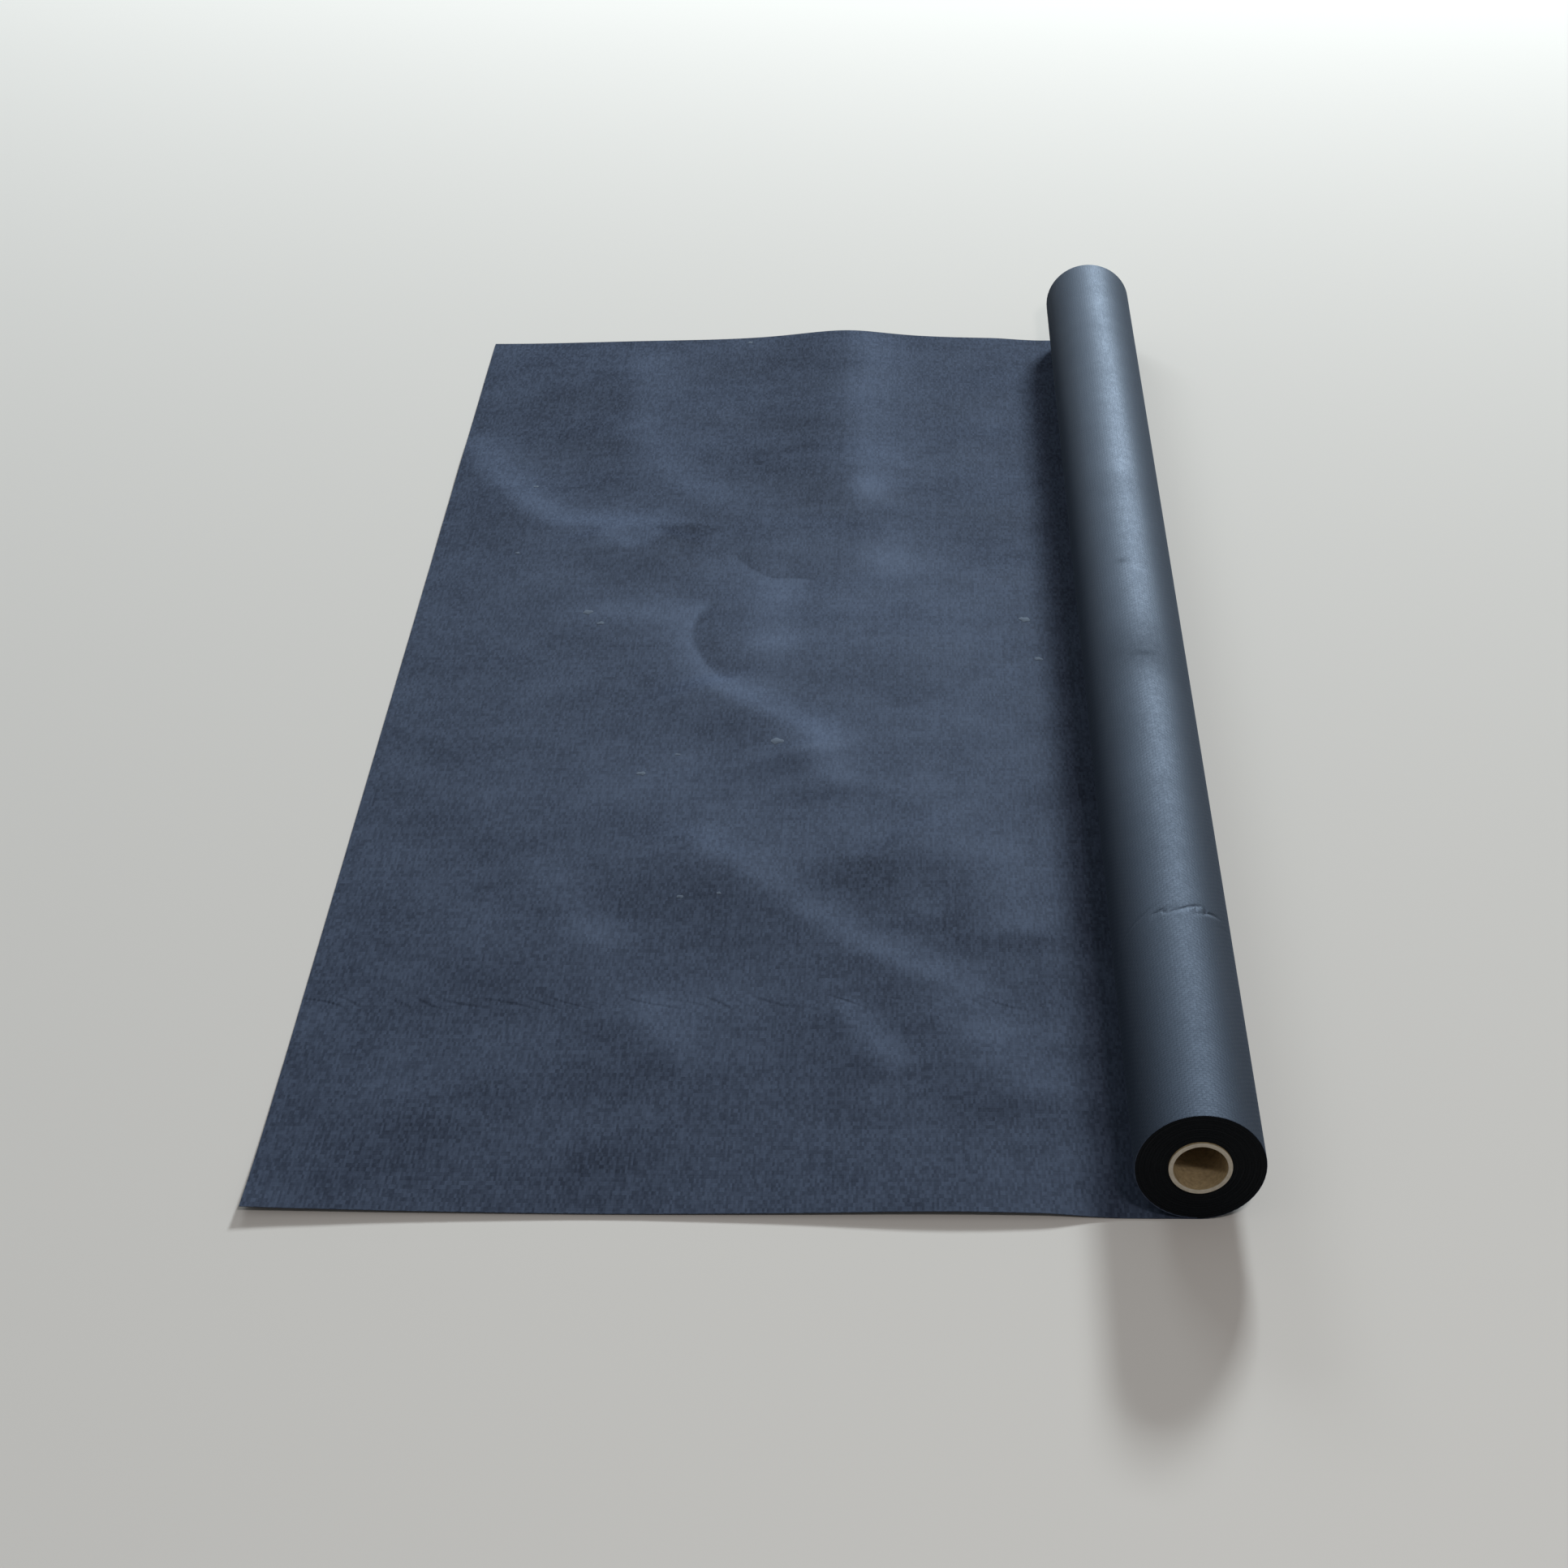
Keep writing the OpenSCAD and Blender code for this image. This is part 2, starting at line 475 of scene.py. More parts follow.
def kraft_bore():
    """Brown paper with flecks of fibre, and a dark line where the slanted ply meets itself."""
    material, tree, shader = new_finish("kraft_paper_bore", Roughness=0.85, Specular_IOR_Level=0.3)
    place = add_node(tree, "ShaderNodeTexCoord").outputs["Object"]
    on_axis = add_node(tree, "ShaderNodeMapping", {"Vector": place, "Location": (-axis_x, 0, -axis_z)})
    split = add_node(tree, "ShaderNodeSeparateXYZ", {0: on_axis.outputs[0]})
    angle = add_node(
        tree, "ShaderNodeMath", {0: split.outputs["Z"], 1: split.outputs["X"]}, operation="ARCTAN2")
    turn = add_node(tree, "ShaderNodeMath", {0: angle.outputs[0], 1: 2 * np.pi}, operation="DIVIDE")
    slant = add_node(
        tree, "ShaderNodeMath", {0: split.outputs["Y"], 1: 1 / SEAM_PITCH, 2: turn.outputs[0]},
        operation="MULTIPLY_ADD")
    from_seam = add_node(tree, "ShaderNodeMath", {0: slant.outputs[0], 1: 0.5}, operation="PINGPONG")
    ply = add_node(
        tree, "ShaderNodeMapRange", {"Value": from_seam.outputs[0], "From Max": SEAM_SHARE, "To Min": 0.0})
    fibre = add_node(
        tree, "ShaderNodeTexNoise", {"Vector": place, "Scale": 1 / PAPER_FIBRE, "Detail": 4.0})
    flecked = add_node(
        tree, "ShaderNodeMath", {0: fibre.outputs["Fac"], 1: ply.outputs[0]}, operation="MULTIPLY")
    colour = add_node(
        tree, "ShaderNodeMix",
        {"Factor": flecked.outputs[0], "A": linear("#6f5a41"), "B": linear("#c0a578")}, data_type="RGBA")
    tree.links.new(colour.outputs["Result"], shader.inputs["Base Color"])
    bump = add_node(
        tree, "ShaderNodeBump", {"Height": flecked.outputs[0], "Strength": 0.4, "Distance": PAPER_RELIEF})
    tree.links.new(bump.outputs[0], shader.inputs["Normal"])
    return material


def sawn_board():
    """Pale board with rings, one for each ply, broken up by torn fibre."""
    material, tree, shader = new_finish("sawn_board_end", Roughness=0.9, Specular_IOR_Level=0.2)
    place = add_node(tree, "ShaderNodeTexCoord").outputs["Object"]
    on_axis = add_node(
        tree, "ShaderNodeMapping",
        {"Vector": place, "Location": (-axis_x, 0, -axis_z), "Scale": (1, 0, 1)})
    radius = add_node(tree, "ShaderNodeVectorMath", {0: on_axis.outputs[0]}, operation="LENGTH")
    plies = add_node(
        tree, "ShaderNodeMath", {0: radius.outputs["Value"], 1: 1 / PLY}, operation="MULTIPLY")
    ring = add_node(tree, "ShaderNodeMath", {0: plies.outputs[0], 1: 0.5}, operation="PINGPONG")
    fibre = add_node(
        tree, "ShaderNodeTexNoise", {"Vector": place, "Scale": 1 / PAPER_FIBRE, "Detail": 4.0})
    torn = add_node(
        tree, "ShaderNodeMath", {0: ring.outputs[0], 1: fibre.outputs["Fac"]}, operation="ADD")
    colour = add_node(
        tree, "ShaderNodeMix",
        {"Factor": torn.outputs[0], "A": linear("#958873"), "B": linear("#bcb09e")}, data_type="RGBA")
    tree.links.new(colour.outputs["Result"], shader.inputs["Base Color"])
    bump = add_node(
        tree, "ShaderNodeBump", {"Height": torn.outputs[0], "Strength": 0.5, "Distance": PAPER_RELIEF})
    tree.links.new(bump.outputs[0], shader.inputs["Normal"])
    return material


bore_paper = kraft_bore()
sawn_end = sawn_board()
print("finishes:", bore_paper.name, sawn_end.name)

# %% [markdown]
# ## The unrolled web
#
# The web leaves the roll at its foot and runs out flat to its cut edge. One grid follows it all the way:
# along the flat, then round the roll as its outermost turn. The upper face of the flat becomes the inner
# face of the turn, as on the real roll.
#
# The flat isn't quite flat. It tents up at the far edge, its near corner curls, and slack runs through it
# in slanting folds. Cloth simulation could make folds, but not these ones in these places, so each is a
# height added by a formula. All of its sizes are in mm. Its line is on the floor, and its height is
# negative for a hollow. Reach and tone are given for the left and the right side of the line: the side that
# faces the light is painted paler, as painted light, and the other is painted a little darker, as painted
# shade. Folds are soft, and creases have a sharp line.

# %% Lines of the folds and creases, in mm on the floor
FOLDS = {
    "far_left": dict(
        line=[(-390, 530), (-365, 472), (-354, 432), (-330, 392), (-306, 360), (-287, 322), (-258, 290),
              (-205, 280), (-150, 278), (-80, 292)],
        height=5.5, reach=(38, 100), tone=(0.56, -0.05)),
    "smile": dict(
        line=[(-215, 285), (-192, 248), (-162, 232), (-136, 248), (-118, 288)],
        height=2.4, reach=(30, 32), tone=(0.52, -0.05)),
    "far_middle": dict(
        line=[(-206, 775), (-203, 620), (-199, 520), (-176, 462), (-147, 394), (-108, 352), (-64, 304)],
        height=2.5, reach=(38, 75), tone=(0.25, -0.04)),
    "tent_ridge": dict(
        line=[(40, 800), (37, 640), (37, 540), (43, 470), (47, 400), (55, 330), (58, 300)],
        height=5.0, reach=(48, 62), tone=(0.50, -0.16)),
    "middle_streak": dict(
        line=[(-94, -8), (-69, -42), (-35, -73), (-9, -95), (17, -121), (40, -166)],
        height=4.6, reach=(33, 56), tone=(0.66, -0.04)),
    "streak_tail": dict(
        line=[(4, -130), (16, -156), (42, -188), (56, -212)],
        height=2.0, reach=(26, 42), tone=(0.35, -0.06)),
    "long_fold": dict(
        line=[(-116, -238), (-76, -294), (-42, -324), (-8, -368), (24, -408), (61, -445), (99, -475),
              (142, -501), (180, -529)],
        height=4.6, reach=(30, 62), tone=(0.34, -0.06)),
    "low_right": dict(
        line=[(112, -518), (130, -542), (158, -577), (184, -620), (196, -655)],
        height=3.0, reach=(44, 46), tone=(0.30, -0.06)),
    "right_band": dict(
        line=[(92, -258), (146, -306), (172, -344), (184, -404), (188, -454)],
        height=4.0, reach=(50, 45), tone=(0.15, -0.18)),
    "between": dict(
        line=[(86, -290), (93, -325), (110, -388), (122, -414)],
        height=2.0, reach=(26, 50), tone=(0.20, -0.08)),
    "short_fold": dict(
        line=[(46, -512), (53, -526), (73, -564), (100, -614)],
        height=2.0, reach=(21, 34), tone=(0.50, -0.05)),
    "left_short": dict(
        line=[(-119, -512), (-109, -526), (-78, -568), (-59, -616)],
        height=1.6, reach=(26, 34), tone=(0.28, -0.04)),
    "left_middle": dict(
        line=[(-226, -300), (-216, -322), (-186, -382), (-154, -424), (-126, -460)],
        height=1.6, reach=(30, 50), tone=(0.22, 0.0)),
}
CREASES = {
    "middle": dict(
        line=[(-52, -20), (-78, 28), (-88, 55), (-92, 80), (-90, 104), (-84, 124), (-70, 150)],
        height=-1.8, reach=(20, 34), tone=(0.90, -0.22)),
    "upper": dict(
        line=[(32, 182), (14, 187), (-4, 190), (-20, 188), (-34, 200), (-48, 217), (-62, 246)],
        height=-1.2, reach=(24, 9), tone=(0.36, -0.18)),
    "hollow": dict(
        line=[(-146, 282), (-119, 299), (-100, 301), (-70, 292)],
        height=0.6, reach=(14, 46), tone=(0.12, -0.26)),
}
print(f"{len(FOLDS)} folds and {len(CREASES)} creases")

# %% [markdown]
# Between the folds the tone also drifts. Some patches are paler and others darker. Two on the lit slope of
# the tent are painted light, and one beside the long fold is painted shade. Each is a bell with its middle
# and its reach in mm, along x and y, and no height.

# %% Patches of tone, in mm on the floor
PATCHES = {
    "beside_roll": dict(at=(190, 60), reach=(75, 290), tone=0.16),
    # The next two are painted light on the lit slope of the tent.
    "tent_painted_light": dict(at=(70, 372), reach=(20, 27), tone=0.80),
    "tent_low_painted_light": dict(at=(92, 226), reach=(32, 50), tone=0.55),
    "left": dict(at=(-165, 118), reach=(80, 22), tone=0.35),
    "middle": dict(at=(-12, 62), reach=(28, 24), tone=0.75),
    "middle_wide": dict(at=(-10, 115), reach=(115, 150), tone=0.22),
    "under_upper": dict(at=(-14, 150), reach=(24, 38), tone=0.45),
    "over_upper": dict(at=(12, 236), reach=(48, 30), tone=0.06),
    # Painted shade beside the long fold.
    "painted_shade_beside_fold": dict(at=(52, -335), reach=(30, 42), tone=-0.12),
    "near_left": dict(at=(-230, -715), reach=(150, 75), tone=-0.10),
    "near_edge": dict(at=(-40, -700), reach=(330, 75), tone=-0.13),
    "belt": dict(at=(-20, -180), reach=(210, 62), tone=0.30),
    "by_fold": dict(at=(95, -272), reach=(60, 48), tone=0.22),
    "right_low": dict(at=(130, -75), reach=(65, 60), tone=0.24),
    "right_middle": dict(at=(115, 135), reach=(80, 120), tone=0.30),
    "left_worn": dict(at=(-255, 175), reach=(115, 105), tone=0.20),
    "far_corner": dict(at=(-310, 570), reach=(120, 125), tone=-0.14),
}
SIDE_BLEND = 3 * MM
END_FADES = 6


def rounded(route, rounds=3):
    """A line with its corners cut: each stretch is replaced by its own middle half, again and again."""
    for _ in range(rounds):
        quarters = np.stack([0.75 * route[:-1] + 0.25 * route[1:], 0.25 * route[:-1] + 0.75 * route[1:]], 1)
        route = np.concatenate([route[:1], quarters.reshape(-1, 2), route[-1:]])
    return route


def from_route(x, y, route):
    """Distance of each point from a line, positive on its left, and how far along it, from 0 to 1, the
    nearest place on the line is."""
    stretch = np.diff(route, axis=0)
    length = np.linalg.norm(stretch, axis=1)
    before = np.concatenate([[0], np.cumsum(length)[:-1]])
    offset = np.stack([x, y], -1)[..., None, :] - route[:-1]
    share = np.clip((offset * stretch).sum(-1) / length**2, 0, 1)
    apart = np.linalg.norm(offset - share[..., None] * stretch, axis=-1)
    side = np.where(stretch[:, 0] * offset[..., 1] > stretch[:, 1] * offset[..., 0], 1, -1)
    along = np.clip((before + share * length) / length.sum(), 0, 1)
    nearest = apart.argmin(-1)[..., None]
    return tuple(np.take_along_axis(values, nearest, -1)[..., 0] for values in (side * apart, along))


def eased(share):
    """A share from 0 to 1 with a soft start and a soft end: 3 s^2 - 2 s^3."""
    return share * share * (3 - 2 * share)


def folds_at(x, y):
    """Height and tone of the folds, with t as the distance from a line over the reach of that side. A fold
    is the bell exp(-t^2), and its tone follows the bell's slope: painted light on one side and painted shade
    on the other. A crease is exp(-|t|), and so is its tone, painted the same way. Each line fades out over a
    sixth of its length at both ends. Patches are bells of tone alone, two of them painted light and one
    painted shade."""
    height, tone = np.zeros_like(x), np.zeros_like(x)
    for lines, sharp in ((FOLDS, False), (CREASES, True)):
        for fold in lines.values():
            apart, along = from_route(x, y, rounded(np.array(fold["line"]) * MM))
            t = np.abs(apart) / np.where(apart > 0, *fold["reach"]) / MM
            fade = np.clip(END_FADES * np.minimum(along, 1 - along), 0, 1)
            shape = eased(fade) * np.exp(-t if sharp else -t * t)
            height += fold["height"] * MM * shape
            left = (1 + np.tanh(apart / SIDE_BLEND)) / 2
            left_tone, right_tone = fold["tone"]
            slope = 1 if sharp else np.sqrt(2 * np.e) * t
            tone += (left * left_tone + (1 - left) * right_tone) * shape * slope
    for patch in PATCHES.values():
        away = (np.stack([x, y], -1) / MM - patch["at"]) / patch["reach"]
        tone += patch["tone"] * np.exp(-(away**2).sum(-1))
    return height, tone


# %% [markdown]
# The web also has slack that no single line describes: long low waves, mostly along its length. A few dozen
# sine waves with seeded random directions make them. Their sum is lifted so that no part of the web goes
# below the floor.

# %% Slack, tent and curled corner
SLACK_SEED = 11
SLACK_WAVES = 40
SLACK_HEIGHT = 0.55 * MM
SLACK_LIFT = 2
WAVE_LENGTHS = (0.12, 0.7)
WAVE_NARROWING = (0.25, 0.6)
TENT_PX = (1050, 422)
TENT_HEIGHT, TENT_HALF, TENT_RUN, TENT_LEAN = 11 * MM, 0.085, 0.30, 0.07
CORNER_HEIGHT, CORNER_ALONG, CORNER_ACROSS = 6 * MM, 0.10, 0.07
LIFT_HEIGHT, LIFT_X, LIFT_ALONG, LIFT_ACROSS = 4 * MM, 0.16, 0.12, 0.06


def slack_at(x, y):
    """Sum of sine waves with random directions and phases, longer along X than along Y, and taller the
    longer they are."""
    rng = np.random.default_rng(SLACK_SEED)
    along = rng.uniform(*WAVE_LENGTHS, SLACK_WAVES)
    across = along * rng.uniform(*WAVE_NARROWING, SLACK_WAVES)
    sign = rng.choice((-1, 1), SLACK_WAVES)
    phase = rng.uniform(0, 2 * np.pi, SLACK_WAVES)
    waves = np.sin(2 * np.pi * (x[..., None] / along + sign * y[..., None] / across) + phase)
    return SLACK_HEIGHT * (SLACK_LIFT + (waves * across / across.mean()).sum(-1) / np.sqrt(SLACK_WAVES))


def edges_at(x, y):
    """Height of the tent at the far edge, which falls off to its sides as 1 / (1 + d^2) and inwards
    exponentially, leaning as it goes, and of the curled corner and the lift along the near edge."""
    tent_x = on_floor(TENT_PX)[0]
    from_far, from_near = half_width - y, half_width + y
    aside = (x - tent_x - TENT_LEAN * from_far) / TENT_HALF
    tent = TENT_HEIGHT / (1 + aside**2) * np.exp(-from_far / TENT_RUN)
    corner = CORNER_HEIGHT * np.exp(-((x - cut_edge_x) / CORNER_ALONG)) * np.exp(-from_near / CORNER_ACROSS)
    lift = LIFT_HEIGHT * np.exp(-(((x - LIFT_X) / LIFT_ALONG) ** 2)) * np.exp(-from_near / LIFT_ACROSS)
    return tent + corner + lift


print(f"the far edge tents up by {TENT_HEIGHT / MM:.0f} mm at x = {on_floor(TENT_PX)[0]:.3f} m")

# %% [markdown]
# Some creases are too fine for the grid. The grid only carries the distance from the nearest of them, which
# stays exact between its points, and the finish draws the groove, with painted shade in it. The creases in
# the middle are pressed in lightly. Three short ones are deeper, in the outer turn of the roll near its
# front end. Further back that turn has two dull, darker smudges and a dull, darker ring.

# %% Fine creases and smudges
ROLL_STROKES_PX = [
    [(1420, 1131), (1428, 1123), (1441, 1117)],
    [(1440, 1125), (1452, 1121), (1468, 1118), (1484, 1117)],
    [(1472, 1123), (1487, 1126), (1503, 1133)],
]
CREASE_DEPTH, ROLL_STROKE_DEPTH = 0.2, 1.0
STROKE_REACH_MM, STROKE_FADE_MM = 20.0, 8
SMUDGES = {
    "dent": dict(at_px=(1383, 690), reach_mm=(5, 5), strength=0.7),
    "smudge": dict(at_px=(1410, 803), reach_mm=(17, 10), strength=1.0),
    "ring": dict(at_px=(1400, 795), reach_mm=(60, 45), strength=0.6),
}


def strokes_at(along, y):
    """Signed distance in mm from the nearest fine crease, up to 20 mm, and its depth, which fades to both
    ends and to the sides."""
    flat = [np.array(crease["line"]) * MM - (cut_edge_x, 0) for crease in CREASES.values()]
    strokes = [(line, CREASE_DEPTH) for line in flat]
    strokes += [(on_roll(line), ROLL_STROKE_DEPTH) for line in ROLL_STROKES_PX]
    nearest, depth = np.full(y.shape, STROKE_REACH_MM), np.zeros_like(y)
    for line, deep in strokes:
        apart, share = from_route(along, y, rounded(line))
        apart /= MM
        closer = np.abs(apart) < np.abs(nearest)
        fade = np.sqrt(4 * share * (1 - share)) * np.clip(2 - np.abs(apart) / STROKE_FADE_MM, 0, 1)
        depth = np.where(closer, deep * fade, depth)
        nearest = np.where(closer, apart, nearest)
    return nearest, depth


def smudges_at(along, y):
    """Strongest of a few bells on the roll, each with its reach along and across the web."""
    strongest = np.zeros_like(y)
    for smudge in SMUDGES.values():
        reach = np.array(smudge["reach_mm"]) * MM
        apart = (np.stack([along, y], -1) - on_roll(smudge["at_px"])) / reach
        strongest = np.maximum(strongest, smudge["strength"] * np.exp(-(apart**2).sum(-1)))
    return strongest


print(f"{len(ROLL_STROKES_PX)} fine creases and {len(SMUDGES)} smudges on the roll")

# %% [markdown]
# The grid's lines are closer together where there is more to show: through the creases in the middle, and
# round the roll. A density is summed up along each direction and the lines are put where that sum passes
# whole steps.

# %% Spacing of the grid
FINE_GAP, FLAT_GAP, ROUND_GAP, ACROSS_GAP = 4.0 * MM, 6.5 * MM, 5.5 * MM, 8.0 * MM
FINE_ALONG = (0.22, 0.43)
FINE_MIDDLE, FINE_FRONT = (-0.02, 0.31), (-0.46, -0.40)


def within(place, stretch):
    """Whether each place lies between the two ends of a stretch."""
    return (place > stretch[0]) & (place < stretch[1])


def spaced(low, high, gap_at, samples=4000):
    """Places from low to high whose gaps follow gap_at(place): the running sum of 1 / gap is read backwards
    at equal steps."""
    place = np.linspace(low, high, samples)
    steps = np.concatenate([[0], np.cumsum(np.diff(place) / gap_at((place[1:] + place[:-1]) / 2))])
    return np.interp(np.linspace(0, steps[-1], int(np.ceil(steps[-1])) + 1), steps, place)


def gap_across(y):
    """Finer through the creases in the middle and near the front end."""
    return np.where(within(y, FINE_MIDDLE) | within(y, FINE_FRONT), FINE_GAP, ACROSS_GAP)


def gap_along(distance):
    """Finer through the creases in the middle, and a little finer round the roll than on the flat."""
    flat = np.where(within(distance, FINE_ALONG), FINE_GAP, FLAT_GAP)
    return np.where(distance > unrolled_length, ROUND_GAP, flat)


outer_turn = 2 * np.pi * (roll_r - FABRIC_T)
along_lines = spaced(0, unrolled_length + outer_turn, gap_along)
across_lines = spaced(-half_width, half_width, gap_across)
print(f"web grid: {len(along_lines)} lines along, {len(across_lines)} across")

# %% [markdown]
# Now the web itself. Its middle surface is a path carried straight across the width: level to the foot of
# the roll, then a spiral that loses one thickness of web in a turn. The heights are added along the path's
# normal, and half a thickness each way gives the two faces. Height fades out towards the foot of the roll,
# where the roll's weight presses the web flat, and folds are lower at the cut edge, which lies nearly even.

# %% Unrolled web
PRESSED_FROM, PRESSED_TO = 0.11, 0.045
EVEN_EDGE, EDGE_SHARE = 0.06, 0.2
SOFT_FLOOR = 0.4 * MM


def web_path(along):
    """x, z and the normal of the web's middle surface at each distance from the cut edge."""
    angle = np.clip(along - unrolled_length, 0, None) / (roll_r - FABRIC_T)
    radius = roll_r - FABRIC_T / 2 - FABRIC_T * angle / (2 * np.pi)
    flat_x = np.clip(along, 0, unrolled_length) - unrolled_length
    x = axis_x + flat_x + radius * np.sin(angle)
    z = np.where(along <= unrolled_length, FABRIC_T / 2, axis_z - radius * np.cos(angle))
    return x, z, -np.sin(angle), np.cos(angle)


def web_height(x, y):
    """Height of the web's middle over its flat path, and the tone of its folds and patches, which is partly
    painted light and shade. The heights add up, a soft floor keeps the sum from going below zero, and both
    fade out towards the foot of the roll."""
    folds, painted_shading_and_tone = folds_at(x, y)
    ends = np.clip((x - cut_edge_x) / EVEN_EDGE, 0, 1)
    height = edges_at(x, y) + (EDGE_SHARE + (1 - EDGE_SHARE) * ends) * (folds + slack_at(x, y))
    loose = eased(np.clip((axis_x - x - PRESSED_TO) / (PRESSED_FROM - PRESSED_TO), 0, 1))
    return loose * SOFT_FLOOR * np.logaddexp(0, height / SOFT_FLOOR), loose * painted_shading_and_tone


def unrolled_web():
    """Two faces half a thickness either side of the creased middle surface, closed by a rim."""
    along, y = np.meshgrid(along_lines, across_lines, indexing="ij")
    x, z, normal_x, normal_z = web_path(along)
    flat = along < unrolled_length
    height, painted_shading_and_tone = (np.where(flat, values, 0) for values in web_height(x, y))
    smudge = np.where(flat, 0, smudges_at(along, y))
    faces = [
        np.stack([x + (height + side) * normal_x, y, z + (height + side) * normal_z], -1)
        for side in (FABRIC_T / 2, -FABRIC_T / 2)]
    from_stroke, stroke_depth = strokes_at(along, y)
    marks = {"painted_shading_and_tone": painted_shading_and_tone, "smudge": smudge, "from_stroke": from_stroke, "stroke_depth": stroke_depth}
    quads = shell_quads(*along.shape)
    face = (along.shape[0] - 1) * (along.shape[1] - 1)
    return add_piece(
        "unrolled_web",
        np.concatenate(faces).reshape(-1, 3),
        quads,
        [upper_face, under_face],
        shares=np.repeat([0, 1, 0], [face, face, len(quads) - 2 * face]),
        web_uv=np.tile(np.stack([along, y], -1).reshape(-1, 2), (2, 1)),
        **{mark: np.tile(values.ravel(), 2) for mark, values in marks.items()})


web = unrolled_web()
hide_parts("landscape_fabric")

# %% [markdown]
# A dozen bits of shed fibre lie on the web. Each is a small flat pad, curved on top: a square of two
# parameters squeezed to a lens, turned by a seeded angle and set down on the web at its place in the
# photograph. They are made together as one array, and stand a hair into the web so that none floats.

# %% Shed fibre
FLECKS_PX = [
    (725, 757), (740, 770), (790, 955), (838, 1110), (886, 1108), (958, 920), (835, 932), (1262, 765),
    (1280, 813), (925, 428), (661, 603), (638, 687)]
FLECKS_MM = np.array([5.0, 3.6, 4.0, 2.8, 2.2, 6.0, 2.4, 5.5, 4.0, 3.0, 2.6, 2.4])
FLECK_SEED = 5
FLECK_GRID = (9, 7)
FLECK_TURN = 0.5
FLECK_SLIMNESS, FLECK_RAGGEDNESS = 0.75, 0.25
FLECK_SUNK, FLECK_RIM, FLECK_SWELL = 0.1 * MM, 0.25 * MM, 0.1


def shed_fibre():
    """Pads of half length a and half width 0.75 a: x and y from two parameters in -1..1, pinched towards
    the ends, with a top that swells as (1 - u^2)(1 - v^2) over a flat base."""
    rng = np.random.default_rng(FLECK_SEED)
    u, v = np.meshgrid(*(np.linspace(-1, 1, count) for count in FLECK_GRID), indexing="ij")
    place = on_floor(FLECKS_PX)
    half = (FLECKS_MM * MM)[:, None, None]
    turned = rng.uniform(-FLECK_TURN, FLECK_TURN, len(place))[:, None, None]
    ragged = 1 + FLECK_RAGGEDNESS * np.sin(3 * u + rng.uniform(0, 6, half.shape))
    long = half * u * np.sqrt(1 - v**2 / 2)
    wide = FLECK_SLIMNESS * half * v * np.sqrt(1 - u**2 / 2) * ragged
    x = place[:, 0, None, None] + long * np.cos(turned) - wide * np.sin(turned)
    y = place[:, 1, None, None] + long * np.sin(turned) + wide * np.cos(turned)
    lying = FABRIC_T + web_height(x, y)[0] - FLECK_SUNK
    swell = FLECK_RIM + FLECK_SWELL * half * (1 - u**2) * (1 - v**2)
    points = np.stack([np.stack([x, y, lying + lift], -1) for lift in (swell, 0 * swell)], 1)
    quads = shell_quads(*u.shape)
    every = quads + 2 * u.size * np.arange(len(place))[:, None, None]
    finish, _, _ = new_finish("shed_fibre", Base_Color=linear("#4c535f"), Roughness=0.9)
    return add_piece("shed_fibre", points.reshape(-1, 3), every.reshape(-1, 4), [finish])


flecks = shed_fibre()

# %% [markdown]
# ## The wound turns
#
# Inside the outermost turn the web goes on round and round to the core, and its edges make the roll's two
# faces. A disc with a picture of rings would look right only from afar. Here the web's own section, a thin
# rectangle as wide as the fabric, is carried along the spiral that the outer turn began, so each turn is
# really there at its real thickness, with a hair of air between turns. The winder never stacks edges
# perfectly, so each turn stands in by a little, in slow swings that show as rings.

# %% Wound turns
SAMPLES_PER_TURN = 96
AIR_SHARE = 0.1
RING_SETBACK = 0.8 * MM


def wound_turns():
    """A rectangle carried along the spiral radius = roll radius - thickness * turn, from the end of the
    outermost turn to the core. Its ends stand in by half the setback, more or less by two sine waves that
    repeat about every six turns and every two."""
    count = int((turns - 1) * SAMPLES_PER_TURN)
    turn = np.linspace(1, turns, count + 1)
    angle = 2 * np.pi * turn
    outer = roll_r - FABRIC_T * turn
    inner = outer - (1 - AIR_SHARE) * FABRIC_T
    swings = 0.5 + 0.3 * np.sin(1.05 * turn) + 0.2 * np.sin(2.9 * turn + 1)
    edge = half_width - RING_SETBACK * swings * np.clip(turn - 1, 0, 1)
    section = [(inner, -edge), (outer, -edge), (outer, edge), (inner, edge)]
    points = np.stack(
        [np.stack([axis_x + r * np.sin(angle), y, axis_z - r * np.cos(angle)], -1) for r, y in section], 1)
    quads = grid_quads(len(turn), len(section), closed_columns=True)
    last = len(section) * count
    caps = np.array([[3, 2, 1, 0], [last, last + 1, last + 2, last + 3]])
    return add_piece(
        "wound_turns", points.reshape(-1, 3), np.concatenate([quads, caps]), [tape_ends], sharp_deg=20)


wound = wound_turns()
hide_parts("landscape_fabric")

# %% [markdown]
# ## The core
#
# The CAD tube has the right shape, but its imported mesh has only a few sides, which would show in the bore.
# The tube is turned again here from a rounded rectangle, with more sides, and its sawn ends waver by a
# fraction of a millimetre.

# %% Core tube
CORE_SIDES = 144
EDGE_R = 0.5 * MM
EDGE_STEPS = 5
SAW_WAVER = 0.15 * MM


def core_section():
    """Radius and length of a rectangle with rounded corners, counted round its outline."""
    middle = np.array(((core_r + bore_r) / 2, 0))
    half = np.array(((core_r - bore_r) / 2, core_half)) - EDGE_R
    corner = np.repeat(np.arange(4), EDGE_STEPS)
    bend = np.radians(90) * (corner + np.tile(np.linspace(0, 1, EDGE_STEPS), 4))
    side = np.stack([np.where((corner == 0) | (corner == 3), 1, -1), np.where(corner < 2, 1, -1)], -1)
    return middle + side * half + EDGE_R * np.stack([np.cos(bend), np.sin(bend)], -1)


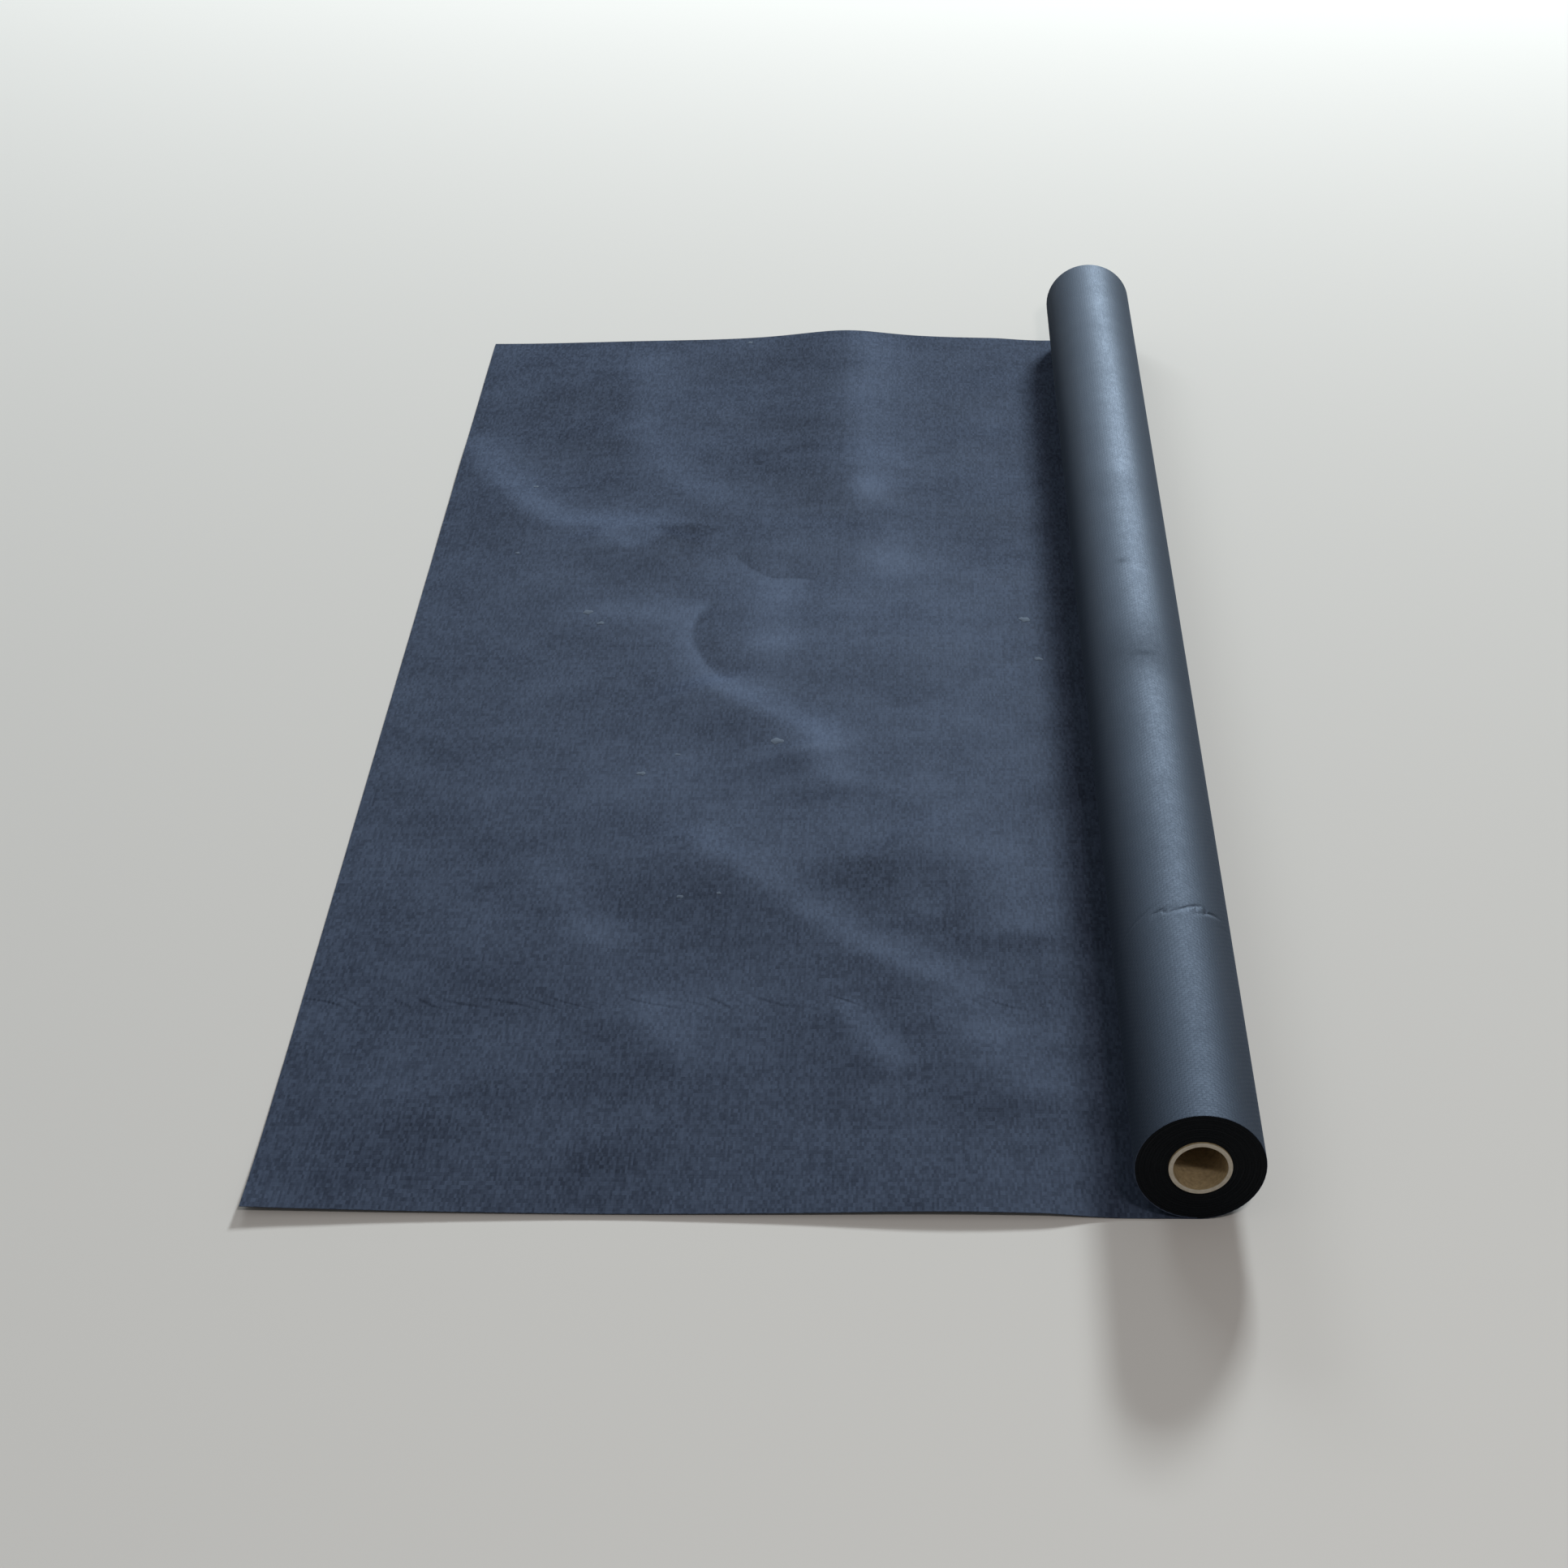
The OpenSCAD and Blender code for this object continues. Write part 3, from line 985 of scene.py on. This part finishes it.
def core_tube():
    """The section turned about the core's axis. Its ends are moved by a wave that goes three times round
    the tube, and half as much by one that goes seven times."""
    section = core_section()
    angle = np.linspace(0, 2 * np.pi, CORE_SIDES, endpoint=False)[:, None]
    radius, length = section[:, 0], section[:, 1]
    waver = SAW_WAVER * (np.sin(3 * angle + 0.6) + 0.5 * np.sin(7 * angle)) / 1.5
    y = length * (1 - SAW_WAVER / core_half) + np.sign(length) * waver
    points = np.stack(
        np.broadcast_arrays(axis_x + radius * np.cos(angle), y, axis_z + radius * np.sin(angle)), -1)
    quads = grid_quads(CORE_SIDES, len(section), closed_rows=True, closed_columns=True)
    span = np.ptp(points.reshape(-1, 3)[quads][:, :, 1], axis=1)
    return add_piece(
        "core_tube_board", points.reshape(-1, 3), quads, [bore_paper, sawn_end],
        shares=span < core_half)


core = core_tube()
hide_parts("core_tube")

# %% [markdown]
# ## The stage
#
# The roll lies on a plain pale floor. Most of the light comes from behind the far end. A bright window, a
# little to the right, gives the roll its long satin highlight and leaves the near face dark. A wider and
# softer doorway to the left lights the web. A small ceiling lamp in front reaches into the lower half of
# the bore. Each is an area lamp aimed at the middle of the part, and the world adds an even fill. Daylight
# is a little blue, so the floor is a warm off-white, which then renders as a neutral one.

# %% Floor and light
FLOOR_HALF = 12.0
FLOOR_DROP = 0.5 * MM
DAYLIGHT = (0.74, 0.885, 1.0)
LAMPLIGHT = (0.93, 0.95, 1.0)
SKYLIGHT = (0.83, 0.92, 1.0)
LAMPS = {
    "window": dict(place=(1.62, 6.0, 2.8), size=(1.05, 0.8), watts=635.0, colour=DAYLIGHT),
    "doorway": dict(place=(-2.0, 6.0, 3.2), size=(2.4, 1.6), watts=132.0, colour=DAYLIGHT),
    "ceiling": dict(place=(0.75, -2.36, 2.55), size=(0.3, 0.3), watts=21.5, colour=LAMPLIGHT),
}
FILL = 0.225


def lay_floor():
    """A square just under the web, matt all over."""
    corners = FLOOR_HALF * np.array([(-1, -1, 0), (1, -1, 0), (1, 1, 0), (-1, 1, 0)]) - (0, 0, FLOOR_DROP)
    mesh = bpy.data.meshes.new("floor")
    mesh.from_pydata(corners.tolist(), [], [(0, 1, 2, 3)])
    material, _, _ = new_finish(
        "matt_white_floor", Base_Color=linear("#dbcfc3"), Roughness=1.0, Specular_IOR_Level=0.0)
    mesh.materials.append(material)
    floor = bpy.data.objects.new("floor", mesh)
    bpy.context.scene.collection.objects.link(floor)


def hang_lamp(name, place, size, watts, colour):
    """A rectangular area lamp that looks at the origin."""
    light = bpy.data.lights.new(name, "AREA")
    light.shape = "RECTANGLE"
    light.size, light.size_y = size
    light.energy = watts
    light.color = colour
    lamp = bpy.data.objects.new(name, light)
    lamp.location = place
    lamp.rotation_euler = (-lamp.location).to_track_quat("-Z", "Y").to_euler()
    bpy.context.scene.collection.objects.link(lamp)


lay_floor()
for name, lamp in LAMPS.items():
    hang_lamp(name, **lamp)
world = bpy.data.worlds.new("even_fill")
world.use_nodes = True
sky = world.node_tree.nodes["Background"]
sky.inputs["Color"].default_value = (*SKYLIGHT, 1)
sky.inputs["Strength"].default_value = FILL
bpy.context.scene.world = world
bpy.context.scene.view_settings.view_transform = "Standard"
print("lamps:", ", ".join(f"{name} {lamp['watts']} W" for name, lamp in LAMPS.items()))
